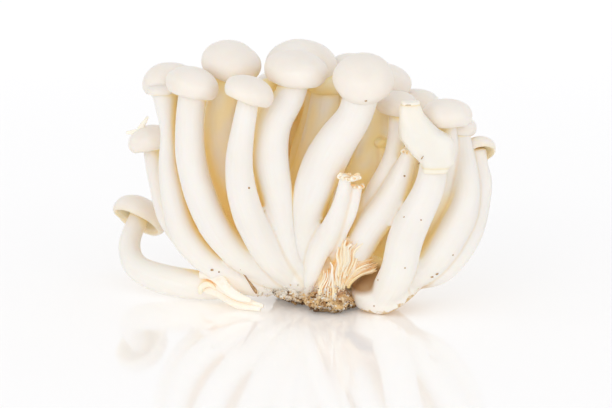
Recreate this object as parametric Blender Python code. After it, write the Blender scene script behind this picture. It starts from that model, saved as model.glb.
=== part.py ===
"""A clump of white shimeji mushrooms, lifted whole off its block of growing medium.

The flesh is one body: every stem runs down into a shared foot. The second body is the crust of
growing medium that stays stuck under the foot. The clump stands on the crust's cut underside.

+X is to the right, +Y to the back and +Z up, seen from the side with the torn patch. The origin is
on the crust's cut underside, below the foot.
"""

import math
import random

import bmesh
import bpy
from mathutils import Matrix, Vector, noise

MM = 0.001  # sizes below are in millimetres

# Driving sizes. A cap's proportions are shares of its own radius.
CAP_SIDES = 12
CAP_DOME_RISE = 0.70
CAP_RIM_DROP = 0.42
CAP_RIM_TUCK = 0.15
GILL_OUTER = 0.70
GILL_MARGIN = 0.06  # ring left between the stem and the gills
GILL_DEPTH = 0.10
STEM_BANDS = 7
REAR_STEM_BANDS = 6
STEM_SWELL = 1.06  # makes up for the flats of an eight-sided stem
SHRED_BANDS = 3
LUMP_SIDES = 14
LUMP_BANDS = 8
BUMPS_PER_RADIUS = 2.3
FOOT_CENTRE = Vector((-5.5, 0.0, 9.5))
FOOT_SIZE = Vector((13.0, 14.5, 6.5))
FOOT_BOTTOM = 5.0
HEEL_CENTRE = Vector((19.0, -10.4, 5.0))
HEEL_SIZE = Vector((11.2, 10.2, 7.6))
HEEL_EDGE = 18.5  # where the heel's torn underside starts to rise to the right
HEEL_SLOPE = 0.68
HOOD_CENTRE = Vector((29.6, -27.5, 55.0))
HOOD_SIZE = Vector((8.2, 5.6, 10.8))
HOOD_LEAN = Vector((-0.42, -0.12, 1.0))
HOOD_OPEN_END = 0.72  # where the hood's lower end is cut off, as a share of its half length
CRUST_CENTRE = Vector((-2.8, -1.5, 2.2))
CRUST_SIZE = Vector((13.2, 17.2, 6.4))
CRUST_BUMPS = 0.15
CRUST_GRAINS = 44
GRAIN_RADII = (0.9, 2.0)
GRAIN_HEIGHTS = (0.12, 0.75)  # shares of the crust's height
GRAIN_SINK = 1.5
CLEARANCE = 0.4  # gap between the crust and the flesh
CUT_WIDTH = 80.0  # slab that cuts the crust flat underneath
CUT_DEPTH = 8.0
CUT_MARGIN = 1.0
SEED = 7
WELD = 0.00003  # in metres, as Blender has it
FLAT_ANGLE = math.radians(3)

# Each mushroom: the middle of its stem from the foot up as (x, y, z, stem radius), then its cap's
# radius and the way that the cap's top leans, as (x, y) against a height of 1.
MUSHROOMS = {
    # The left side, from the front row to the back.
    "left_front": ([(-12, -7, 8.5, 3.2), (-26.5, -11, 17.5, 4.6), (-36, -14, 32, 4.9),
                    (-40.4, -15, 50, 4.5), (-39.4, -16, 70, 4.1)], 8.0, (0.18, 0.0)),
    "left_middle": ([(-14, -5, 6, 2.9), (-25, -6, 7, 3.5), (-41.5, -7, 20, 4.4),
                     (-47, -8, 40, 3.4), (-47.6, -8, 55, 2.3), (-48.4, -8, 67.5, 4.2)], 5.0, (-0.10, -0.05)),
    "left_back": ([(-12, 2, 10, 3.0), (-38, -1, 27, 3.9), (-43.5, -2, 44, 3.6), (-45.5, -4, 58, 3.2),
                   (-47.3, -3, 69, 3.0)], 8.2, (-0.12, 0.10)),
    "left_low": ([(-13, 4, 7, 2.8), (-36, 6, 11.5, 3.3), (-47.5, 5, 23, 3.4), (-51.5, 4, 37, 3.1),
                  (-53.6, 3.5, 49.7, 2.7)], 7.1, (-0.20, 0.05)),
    # The tall ones across the middle.
    "tall_left": ([(-9, 2, 9, 3.0), (-21.5, 1, 20, 4.2), (-29.5, -1, 37, 4.8), (-32.2, -2, 55, 5.1),
                   (-28.2, -3, 74.8, 4.2)], 9.1, (0.22, -0.24)),
    "small_front": ([(-9, -9, 8.5, 3.2), (-17, -16, 18, 4.2), (-23.2, -20, 32, 4.7),
                     (-25.5, -23, 48, 4.1), (-22.4, -24, 69, 3.0)], 7.4, (0.34, -0.02)),
    "front_top": ([(-6, -8, 9, 3.2), (-11, -13, 19, 4.2), (-13.5, -15, 34, 5.1), (-16.4, -16, 52, 5.6),
                   (-8.7, -13, 74, 4.2)], 9.5, (0.10, -0.10)),
    "back_top": ([(-4, 2, 9, 3.2), (-8, 8, 25, 4.4), (-6.5, 12, 43, 4.5), (-2.5, 12, 60, 4.0),
                  (-7.2, 10, 72.5, 3.8)], 11.0, (0.05, 0.0)),
    "round_front": ([(-4, -8, 9, 3.2), (-7, -12, 20, 4.2), (-4, -15, 35, 5.0), (1.3, -18, 50, 5.5),
                     (11.1, -21, 72.4, 5.2)], 9.1, (0.12, -0.62)),
    "behind_round": ([(-4, 4, 9, 3.2), (-3, 12, 28, 4.4), (0, 15, 46, 4.4), (5, 14, 62, 3.8),
                      (8.2, 13, 70, 3.4)], 7.8, (0.0, 0.0)),
    "middle_knob": ([(-6, 0, 10, 2.6), (-14, -2, 26, 3.2), (-20, -4, 44, 3.2), (-19, -5, 60, 2.6),
                     (-16.5, -5, 67.5, 2.2)], 4.2, (0.10, 0.0)),
    # The right side.
    "right_back_top": ([(2, 2, 10, 3.0), (6, -1, 28, 4.6), (12, -2, 42, 4.9), (15.8, 1, 56, 4.4),
                        (17.6, 5, 67.6, 3.8)], 8.6, (0.12, 0.05)),
    "right_slim": ([(4, -8, 11, 3.2), (10, -9, 25, 4.2), (16, -10, 36.5, 4.0), (20.5, -9, 48, 2.8),
                    (21.6, -7, 62.3, 2.4)], 6.3, (0.10, -0.02)),
    "right_rear": ([(8, 0, 9, 3.0), (20, 1, 16, 3.8), (27.5, 5, 33, 4.0), (30.5, 8, 48, 3.6),
                    (29, 9, 60, 3.0)], 6.9, (0.10, 0.0)),
    "right_front": ([(19, -7, 7, 3.2), (25, -11, 14, 3.4), (31, -14, 28, 3.4), (36, -16, 43, 3.1),
                     (35.7, -18, 61.2, 2.8)], 7.4, (0.02, 0.0)),
    "right_outer": ([(19, -8, 7, 3.8), (29, -16, 14, 4.9), (37.5, -19, 25.5, 5.0), (42, -18, 38, 4.1),
                     (40.0, -12, 56.6, 2.6)], 5.2, (0.15, 0.05)),
    "right_far": ([(21, -6, 8, 3.3), (34.5, -14, 12.5, 3.8), (43.5, -15, 24, 3.6), (47.2, -13, 38, 2.9),
                   (46.3, -11, 45.5, 2.5), (45.6, -10, 48.8, 3.2)], 5.8, (-0.30, 0.80)),
    "bud": ([(6, -4, 10, 1.6), (14.5, -4, 28, 1.8), (18.3, -3, 40, 1.6), (18.3, -2, 51, 1.4)],
            2.6, (0.0, 0.0)),
    "lying": ([(-12, -3, 8, 2.8), (-30, -1, 4.9, 4.0), (-45, 1, 5.4, 4.8), (-58.2, 8, 8, 4.1),
               (-61.8, 16, 14, 3.5), (-59.2, 23, 21.6, 3.2)], 9.0, (0.52, 0.62)),
}

# The rows behind, in the same form, with plainer stems.
REAR_MUSHROOMS = {
    "inner_left": ([(-6, 5, 9, 3.0), (-12, 14, 26, 4.0), (-15, 17, 44, 3.8), (-15, 17, 56, 3.2)],
                   6.8, (0.0, 0.05)),
    "inner_right": ([(1, 5, 10, 3.0), (14, 13, 27, 4.2), (21, 16, 43, 4.0), (22, 17, 53, 3.2)],
                    7.0, (0.05, 0.05)),
    "rear_far_left": ([(-13, 7, 9, 2.8), (-34, 14, 20, 3.4), (-40, 17, 34, 3.2), (-39, 17, 47, 2.7)],
                      6.4, (-0.15, 0.15)),
    "rear_left": ([(-10, 9, 9, 3.0), (-25, 23, 22, 3.9), (-31, 26, 41, 3.8), (-29, 24, 60, 3.0)],
                  8.0, (-0.08, 0.20)),
    "rear_middle_left": ([(-7, 10, 9, 3.0), (-13, 27, 22, 4.0), (-16, 31, 42, 3.9), (-14, 28, 62, 3.1)],
                         8.6, (0.0, 0.22)),
    "rear_middle": ([(-1, 11, 9, 3.0), (1, 29, 21, 4.0), (3, 33, 38, 3.8), (3, 30, 56, 3.0)],
                    7.8, (0.05, 0.25)),
    "rear_middle_right": ([(3, 10, 9, 3.0), (14, 24, 22, 3.8), (18, 28, 40, 3.7), (17, 26, 57, 2.9)],
                          7.6, (0.10, 0.18)),
    "rear_right": ([(7, 6, 9, 3.0), (26, 17, 19, 3.7), (32, 21, 34, 3.5), (31, 20, 49, 2.8)],
                   7.0, (0.15, 0.15)),
    "rear_far_right": ([(16, 0, 8, 3.0), (34, 5, 17, 3.4), (41, 7, 30, 3.2), (41, 6, 43, 2.6)],
                       6.2, (0.25, 0.10)),
}

# Stems with no cap of their own. Their upper ends are torn.
STUBS = {
    "stub_thick": [(-5.2, -10.5, 5.8, 2.0), (-4.3, -14.2, 11, 2.4), (-1.9, -17, 19, 3.0),
                   (2.2, -20, 27.5, 3.1), (4.5, -22, 34.5, 2.8), (6, -25, 44.5, 2.0)],
    "stub_thin": [(2, -10, 12, 1.8), (4, -18, 24, 2.1), (7.5, -21, 32.5, 2.0), (9.5, -22, 41, 1.6)],
    "stub_right": [(6, -9, 10, 4.0), (12.5, -16, 25, 4.9), (19.5, -19, 36, 4.4), (25.5, -19, 51, 2.3)],
    "hood_stem": [(17.2, -15.5, 5.0, 4.6), (21.4, -22, 14, 4.9), (24.5, -25.5, 27, 5.2), (30.5, -26.5, 42, 4.5),
                  (31.5, -26, 53, 3.6)],
}

# Thin torn pieces, each tapering from its root: (x, y, z, radius) from the root out.
SHREDS = {
    "strip_flat": [(-34, -2, 5, 1.7), (-28.5, -9, 2.2, 1.8), (-19.5, -15, 1.6, 1.3)],
    "strip_curl": [(-36, -3.5, 5.5, 1.6), (-33, -6.5, 4, 1.1), (-31.5, -7, 5.6, 0.6)],
    "flake": [(-60.9, 2, 52.4, 0.6), (-57.2, 2, 52.8, 1.1), (-54.2, 2, 57.6, 0.5)],
    "stub_peel_a": [(4.8, -25, 42.5, 0.9), (4.2, -26, 46, 0.7), (2.9, -26.5, 46.6, 0.4)],
    "stub_peel_b": [(6.2, -25.5, 43, 1.0), (6.4, -26.2, 46.8, 0.8), (8.0, -26.6, 47.2, 0.4)],
    "stub_peel_c": [(7.4, -25, 42.5, 0.9), (8.3, -25, 45.6, 0.7), (9.4, -25, 44.8, 0.4)],
    "right_peel": [(25.2, -20, 49, 1.0), (24.2, -20.4, 53.5, 0.7), (24.6, -20.4, 56, 0.4)],
    "hood_lip": [(25.5, -27.5, 62.5, 1.4), (24, -28.5, 65.5, 1.3), (28.5, -29, 65.8, 0.9)],
}

# The torn patch: fibres that fan out of the foot between the stems.
FIBRE_COUNT = 13
FIBRE_ROOT = Vector((3.0, -13.0, 8.0))
FIBRE_SPREAD = 9.0
FIBRE_LENGTH = (9.0, 15.0)
FIBRE_RADIUS = (1.25, 0.45)


def new_object(name, mesh, collection):
    """An object for this mesh, linked to the collection."""
    made = bpy.data.objects.new(name, mesh)
    collection.objects.link(made)
    return made


def object_from(shell, name, collection):
    """An object holding what the bmesh holds, which is then freed."""
    mesh = bpy.data.meshes.new(name)
    shell.to_mesh(mesh)
    shell.free()
    return new_object(name, mesh, collection)


def helper_collection(name):
    """A collection for pieces that a Boolean takes."""
    made = bpy.data.collections.new(name)
    bpy.context.scene.collection.children.link(made)
    return made


def point_on_route(route, share):
    """The point and radius at this share of a smooth curve through the route's points."""
    spans = len(route) - 1
    span = min(int(share * spans), spans - 1)
    t = share * spans - span
    before = Vector(route[max(span - 1, 0)])
    start = Vector(route[span])
    end = Vector(route[span + 1])
    after = Vector(route[min(span + 2, spans)])
    return 0.5 * (
        2 * start
        + (end - before) * t
        + (2 * before - 5 * start + 4 * end - after) * t ** 2
        + (3 * start - before - 3 * end + after) * t ** 3
    )


def tube_mesh(name, route, bands, roundness, grow=0.0, closed=True):
    """A tube of changing width along the route, as a mesh. grow widens it all round."""
    curve = bpy.data.curves.new(name, "CURVE")
    curve.dimensions = "3D"
    curve.bevel_depth = MM
    curve.bevel_resolution = roundness
    curve.use_fill_caps = closed
    spline = curve.splines.new("POLY")
    spline.points.add(bands)
    for step, point in enumerate(spline.points):
        x, y, z, radius = point_on_route(route, step / bands)
        point.co = (x * MM, y * MM, z * MM, 1.0)
        point.radius = radius * STEM_SWELL + grow
    guide = new_object(name, curve, bpy.context.scene.collection)
    bpy.context.view_layer.update()
    graph = bpy.context.evaluated_depsgraph_get()
    mesh = bpy.data.meshes.new_from_object(guide.evaluated_get(graph))
    bpy.data.objects.remove(guide)
    shell = bmesh.new()
    shell.from_mesh(mesh)
    bmesh.ops.remove_doubles(shell, verts=shell.verts, dist=1e-6)
    bmesh.ops.recalc_face_normals(shell, faces=shell.faces)
    shell.to_mesh(mesh)
    shell.free()
    return mesh


def tube(name, route, collection, bands=STEM_BANDS, roundness=2, grow=0.0):
    """A closed tube along the route as an object."""
    return new_object(name, tube_mesh(name, route, bands, roundness, grow=grow), collection)


def cap_profile():
    """Radius and height of a cap's rings from below its top to its rim, for a radius of 1."""
    dome = [
        (math.sin(turn), CAP_DOME_RISE * math.cos(turn))
        for turn in (math.radians(angle) for angle in (32, 62, 90))
    ]
    rim = [
        (1 - CAP_RIM_TUCK * 0.35, -CAP_RIM_DROP * 0.62),
        (1 - CAP_RIM_TUCK, -CAP_RIM_DROP),
    ]
    return dome + rim


def ring_of(shell, reach, height, sides, ridge=0.0):
    """One ring of points. Every second one is lifted by the ridge's height."""
    return [
        shell.verts.new((
            reach * math.cos(math.tau * side / sides),
            reach * math.sin(math.tau * side / sides),
            height + ridge * (side % 2),
        ))
        for side in range(sides)
    ]


def add_cap(shell, place, stem_share):
    """Adds a domed cap with a rolled rim and a ridge for each gill, open where the stem joins it."""
    gills = 2 * CAP_SIDES
    inner_reach = stem_share + GILL_MARGIN
    top = shell.verts.new((0, 0, CAP_DOME_RISE))
    domed = [ring_of(shell, reach, height, CAP_SIDES) for reach, height in cap_profile()]
    outer = ring_of(shell, max(GILL_OUTER, inner_reach + 0.1), -CAP_RIM_DROP * 0.70, gills, GILL_DEPTH)
    inner = ring_of(shell, inner_reach, -CAP_RIM_DROP * 0.42, gills, GILL_DEPTH)
    for side in range(CAP_SIDES):
        following = (side + 1) % CAP_SIDES
        shell.faces.new((top, domed[0][side], domed[0][following]))
        for upper, lower in zip(domed, domed[1:]):
            shell.faces.new((upper[side], lower[side], lower[following], upper[following]))
        first, between, last = (outer[(2 * side + step) % gills] for step in range(3))
        shell.faces.new((domed[-1][side], first, between))
        shell.faces.new((domed[-1][side], between, domed[-1][following]))
        shell.faces.new((domed[-1][following], between, last))
    for side in range(gills):
        following = (side + 1) % gills
        shell.faces.new((outer[side], inner[side], inner[following], outer[following]))
    whole = [top] + [point for ring in domed for point in ring] + outer + inner
    bmesh.ops.transform(shell, matrix=place, verts=whole)


def mushroom(name, route, radius, lean, collection, bands, roundness):
    """One whole mushroom: the stem's open top is bridged to the ring inside the cap's gills."""
    axis = Vector((lean[0], lean[1], 1.0)).normalized()
    centre = Vector(route[-1][:3])
    neck = centre - axis * radius * CAP_RIM_DROP * 0.62
    stem = tube_mesh(name, route[:-1] + [(*neck, route[-1][3])], bands, roundness, closed=False)
    shell = bmesh.new()
    shell.from_mesh(stem)
    bpy.data.meshes.remove(stem)
    turned = Vector((0, 0, 1)).rotation_difference(axis).to_matrix().to_4x4()
    place = Matrix.Translation(centre * MM) @ turned @ Matrix.Scale(radius * MM, 4)
    add_cap(shell, place, route[-1][3] / radius)
    near = radius * MM
    meeting = [
        edge for edge in shell.edges
        if edge.is_boundary and all((vert.co - centre * MM).length < near for vert in edge.verts)
    ]
    bmesh.ops.bridge_loops(shell, edges=meeting)
    foot_end = [edge for edge in shell.edges if edge.is_boundary]
    bmesh.ops.contextual_create(shell, geom=foot_end)
    bmesh.ops.triangulate(shell, faces=shell.faces)
    bmesh.ops.recalc_face_normals(shell, faces=shell.faces)
    return object_from(shell, name, collection)


def torn_floor(x):
    """How far the heel's torn underside is above the table."""
    return max(0.0, (x - HEEL_EDGE) * HEEL_SLOPE)


def level(x):
    """A floor that stays at one height."""
    return 0.0


def lump(name, centre, size, collection, floor, grow=0.0, bumps=0.0, rising=level):
    """An uneven rounded body, flattened where it would go below the floor height."""
    shell = bmesh.new()
    bmesh.ops.create_uvsphere(shell, u_segments=LUMP_SIDES, v_segments=LUMP_BANDS, radius=1.0)
    for vert in shell.verts:
        away = vert.co.copy()
        swell = 1 + bumps * noise.noise(away * BUMPS_PER_RADIUS + Vector((SEED, 0, 0)))
        reach = [(part + grow) * swell for part in size]
        place = Vector(centre) + Vector(side * part for side, part in zip(away, reach))
        place.z = max(place.z, floor + rising(place.x) - grow)
        vert.co = place * MM
    return object_from(shell, name, collection)


def table_cutter(collection):
    """A slab whose top face is the surface that the clump stands on."""
    shell = bmesh.new()
    place = Matrix.Translation((0, 0, -0.5 * CUT_DEPTH * MM))
    sides = Matrix.Diagonal((CUT_WIDTH * MM, CUT_WIDTH * MM, CUT_DEPTH * MM, 1.0))
    bmesh.ops.create_cube(shell, size=1.0, matrix=place @ sides)
    return object_from(shell, "table", collection)


def fibres(collection, grow=0.0):
    """The torn patch's fibres, fanned out from the foot, drawn by a seeded rule."""
    draw = random.Random(SEED)
    for number in range(FIBRE_COUNT):
        across = number / (FIBRE_COUNT - 1) - 0.5
        length = draw.uniform(*FIBRE_LENGTH)
        root = FIBRE_ROOT + Vector((FIBRE_SPREAD * across, draw.uniform(-1.5, 1.0), 0))
        rise = Vector((1.1 * across + 0.25, -0.22 - draw.uniform(0, 0.12), 1.0)).normalized()
        bend = Vector((draw.uniform(0.2, 1.6), -0.4, -0.4))
        middle = root + rise * length * 0.55
        tip = root + rise * length + bend
        wide, narrow = FIBRE_RADIUS
        route = [(*root, wide), (*middle, 0.8 * wide), (*tip, narrow)]
        tube(f"fibre_{number}", route, collection, SHRED_BANDS, roundness=0, grow=grow)


def hood(collection):
    """The torn cap that hangs over its stem like a hood."""
    made = lump("hood", Vector(), HOOD_SIZE, collection, -HOOD_OPEN_END * HOOD_SIZE.z)
    turned = Vector((0, 0, 1)).rotation_difference(HOOD_LEAN).to_matrix().to_4x4()
    made.data.transform(Matrix.Translation(HOOD_CENTRE * MM) @ turned)


def flesh(collection, grow=0.0):
    """The stubs, torn pieces, fibres and heel, widened by grow."""
    for name, route in STUBS.items():
        tube(name, route, collection, grow=grow)
    for name, route in SHREDS.items():
        tube(name, route, collection, SHRED_BANDS, roundness=1, grow=grow)
    fibres(collection, grow)
    lump("heel", HEEL_CENTRE, HEEL_SIZE, collection, 0.0, grow, rising=torn_floor)


def join(target, collection, operation):
    """Applies one Boolean of the whole collection to the target and removes the collection."""
    change = target.modifiers.new("join", "BOOLEAN")
    change.operand_type = "COLLECTION"
    change.collection = collection
    change.operation = operation
    change.solver = "MANIFOLD"
    bpy.context.view_layer.update()
    graph = bpy.context.evaluated_depsgraph_get()
    joined = bpy.data.meshes.new_from_object(target.evaluated_get(graph))
    target.modifiers.clear()
    target.data = joined
    for piece in list(collection.objects):
        bpy.data.objects.remove(piece)
    bpy.data.collections.remove(collection)


def merge_flat_faces(target):
    """Joins neighbouring faces that lie nearly in one plane, to shed the slivers of a union."""
    shell = bmesh.new()
    shell.from_mesh(target.data)
    bmesh.ops.remove_doubles(shell, verts=shell.verts, dist=WELD)
    bmesh.ops.dissolve_limit(shell, angle_limit=FLAT_ANGLE, verts=shell.verts, edges=shell.edges)
    bmesh.ops.triangulate(shell, faces=shell.faces)
    shell.to_mesh(target.data)
    shell.free()


def keep_largest_body(target):
    """Drops every loose scrap and sealed hollow of the target, and keeps its largest body."""
    shell = bmesh.new()
    shell.from_mesh(target.data)
    unseen = set(shell.verts)
    bodies = []
    while unseen:
        body = set()
        edge_of_search = [unseen.pop()]
        while edge_of_search:
            vert = edge_of_search.pop()
            body.add(vert)
            for edge in vert.link_edges:
                other = edge.other_vert(vert)
                if other in unseen:
                    unseen.remove(other)
                    edge_of_search.append(other)
        bodies.append(body)
    bodies.sort(key=len)
    for scrap in bodies[:-1]:
        bmesh.ops.delete(shell, geom=list(scrap), context="VERTS")
    shell.to_mesh(target.data)
    shell.free()


def material(name, colour, roughness):
    """A plain material in this colour."""
    made = bpy.data.materials.new(name)
    made.use_nodes = True
    shader = made.node_tree.nodes["Principled BSDF"]
    shader.inputs["Base Color"].default_value = (*colour, 1.0)
    shader.inputs["Roughness"].default_value = roughness
    return made


def make_clump(parts):
    """All the mushrooms, fused where they touch and where they grow into the shared foot."""
    grown = helper_collection("grown_together")
    flesh(grown)
    for name, (route, radius, lean) in MUSHROOMS.items():
        mushroom(name, route, radius, lean, grown, STEM_BANDS, 2)
    for name, (route, radius, lean) in REAR_MUSHROOMS.items():
        mushroom(name, route, radius, lean, grown, REAR_STEM_BANDS, 1)
    hood(grown)
    clump = lump("mushroom_clump", FOOT_CENTRE, FOOT_SIZE, parts, FOOT_BOTTOM)
    join(clump, grown, "UNION")
    merge_flat_faces(clump)
    keep_largest_body(clump)
    clump.data.materials.clear()
    clump.data.materials.append(material("mushroom_flesh", (0.93, 0.89, 0.81), 0.55))


def crust_grains(collection):
    """Grains stuck round the crust's side, their sizes and heights drawn by a seeded rule."""
    draw = random.Random(SEED)
    for number in range(CRUST_GRAINS):
        turn = math.tau * number / CRUST_GRAINS
        height = draw.uniform(*GRAIN_HEIGHTS)
        reach = math.sqrt(1 - height ** 2)
        away = Vector((reach * math.cos(turn), reach * math.sin(turn), height))
        place_on = Vector(side * part for side, part in zip(away, CRUST_SIZE))
        middle = CRUST_CENTRE + place_on - Vector((0, 0, GRAIN_SINK))
        size = draw.uniform(*GRAIN_RADII)
        turned = Matrix.Rotation(draw.uniform(0, math.tau), 4, "Z")
        place = Matrix.Translation(middle * MM) @ turned @ Matrix.Scale(size * MM, 4)
        shell = bmesh.new()
        bmesh.ops.create_icosphere(shell, subdivisions=1, radius=1.0, matrix=place)
        object_from(shell, f"grain_{number}", collection)


def make_crust(parts):
    """The growing medium under the foot, cut flat underneath and clear of the flesh above."""
    grains = helper_collection("grains")
    crust_grains(grains)
    crust = lump("substrate_crust", CRUST_CENTRE, CRUST_SIZE, parts, -CUT_MARGIN, bumps=CRUST_BUMPS)
    join(crust, grains, "UNION")
    cutters = helper_collection("room_for_the_flesh")
    flesh(cutters, CLEARANCE)
    for name, (route, radius, lean) in {**MUSHROOMS, **REAR_MUSHROOMS}.items():
        tube(name, route, cutters, grow=CLEARANCE)
    lump("foot_room", FOOT_CENTRE, FOOT_SIZE, cutters, FOOT_BOTTOM, CLEARANCE)
    table_cutter(cutters)
    join(crust, cutters, "DIFFERENCE")
    keep_largest_body(crust)
    crust.data.materials.clear()
    crust.data.materials.append(material("growing_medium", (0.42, 0.30, 0.18), 0.9))


def main():
    for old in list(bpy.data.objects):
        bpy.data.objects.remove(old)
    parts = bpy.data.collections.new("white_shimeji_mushroom")
    bpy.context.scene.collection.children.link(parts)
    make_clump(parts)
    make_crust(parts)


main()
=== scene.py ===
"""The looks of the white shimeji clump, built round its fixed frame.

The stems, stubs and shared foot get one smooth skin on each side, and a gilled cap sits on each stem.
The torn hood, peels, fibres and specks are pieces of their own, and so is the grainy crust. Sizes are
in millimetres, and become metres when a mesh is made. +X is to the right, +Y to the back, +Z up.
"""

import math
import random

import bmesh
import bpy
import numpy as np
from mathutils import Matrix, Vector, noise
from mathutils.bvhtree import BVHTree


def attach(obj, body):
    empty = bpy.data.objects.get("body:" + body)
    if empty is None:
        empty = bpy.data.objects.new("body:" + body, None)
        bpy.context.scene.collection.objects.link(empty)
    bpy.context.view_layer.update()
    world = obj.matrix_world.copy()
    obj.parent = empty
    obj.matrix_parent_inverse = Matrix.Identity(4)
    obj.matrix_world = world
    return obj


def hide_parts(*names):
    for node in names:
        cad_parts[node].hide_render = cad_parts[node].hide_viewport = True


MM = 0.001
UP = Vector((0.0, 0.0, 1.0))
SEED = 7

# The camera, which stands where the photographer stood.
IMAGE_WIDTH = 612
IMAGE_HEIGHT = 408
FOCAL_PIXELS = 1950.0
AIM = Vector((-5.846, 0.0, 30.5))
CAMERA_DISTANCE = 600.0
CAMERA_ELEVATION = math.radians(12)

# The skin of the stems.
STEM_SIDES = 20
STEM_BANDS = 48
STEM_WOBBLE = 0.05
WOBBLE_PER_MM = 0.11
SKIN_VOXEL = 0.64
SKIN_SMOOTHING = 9
CREASE_REACH = 1.6
GRAIN_BANDS = 60
GRAIN_STEP = 31.0  # from stem to stem, so that no two have the same streaks

# A cap's proportions are shares of its own radius.
CAP_DOME_RINGS = 14
CAP_RISE = 0.70
CLOSED_RIM = [
    (0.994, -0.08), (0.976, -0.165), (0.942, -0.250), (0.892, -0.325), (0.828, -0.380),
    (0.760, -0.405), (0.705, -0.398), (0.668, -0.372), (0.650, -0.340), (0.640, -0.320),
]
OPEN_RIM = [
    (1.000, -0.05), (0.997, -0.09), (0.990, -0.125), (0.978, -0.150), (0.962, -0.160),
    (0.946, -0.155), (0.934, -0.140), (0.925, -0.120), (0.918, -0.100), (0.910, -0.085),
]
GILL_RINGS = 7
GILL_INNER_HEIGHTS = (-0.22, 0.10)  # beside the stem, in a closed cap and in an open one
# Caps that differ from the rest: how high they rise, and how far they have opened.
CAP_SHAPES = {
    "lying": (0.66, 0.6), "right_far": (0.66, 0.6), "small_front": (0.62, 0.3),
    "left_front": (0.66, 0.0), "front_top": (0.58, 0.0), "tall_left": (0.67, 0.0),
    "left_middle": (0.45, 0.7), "left_low": (0.68, 0.15), "right_front": (0.66, 0.05),
}
GILL_DEPTH = 0.13
GILLS_FRONT = 38
GILLS_REAR = 28

FOOT_CENTRE = Vector((-5.5, 0.0, 9.5))
FOOT_SIZE = Vector((13.0, 14.5, 6.5))
FOOT_BOTTOM = 5.0
FOOT_WEBS = [
    (Vector((-14.0, -6.5, 13.0)), Vector((13.0, 6.5, 8.0))),
    (Vector((-2.0, -9.5, 14.0)), Vector((8.0, 6.0, 9.0))),
    (Vector((13.0, -5.5, 9.0)), Vector((7.5, 5.0, 7.0))),
]
# Deep hollows beside the torn patch, darkened brown with painted shade: middle and reach. The painted shade
# ends at this share of the reach, and fades over the next.
HOLLOW_END = 1.2
HOLLOW_FADE = 0.3
SHADED_HOLLOWS = [
    (Vector((12.8, -12.0, 9.8)), Vector((6.0, 7.6, 4.6))),
    (Vector((-0.4, -11.0, 15.0)), Vector((3.0, 4.0, 4.5))),
]
HEEL_CENTRE = Vector((19.0, -10.4, 5.0))
HEEL_SIZE = Vector((11.2, 10.2, 7.6))
HEEL_EDGE = 18.5  # where the heel's torn underside starts to rise to the right
HEEL_SLOPE = 0.68
HEEL_RUN = 20
SHADE_RAYS = 28
SHADE_REACH = 26.0
SHADE_LOWEST = 0.15  # how far a ray must lean to the outside of the surface
SHADE_LIFT = 0.4  # where a ray starts above the surface
SIDE_RAY_WORTH = 0.2  # against 1.2 for a ray straight to the front or the back
SHADE_BLUR = 6

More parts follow.
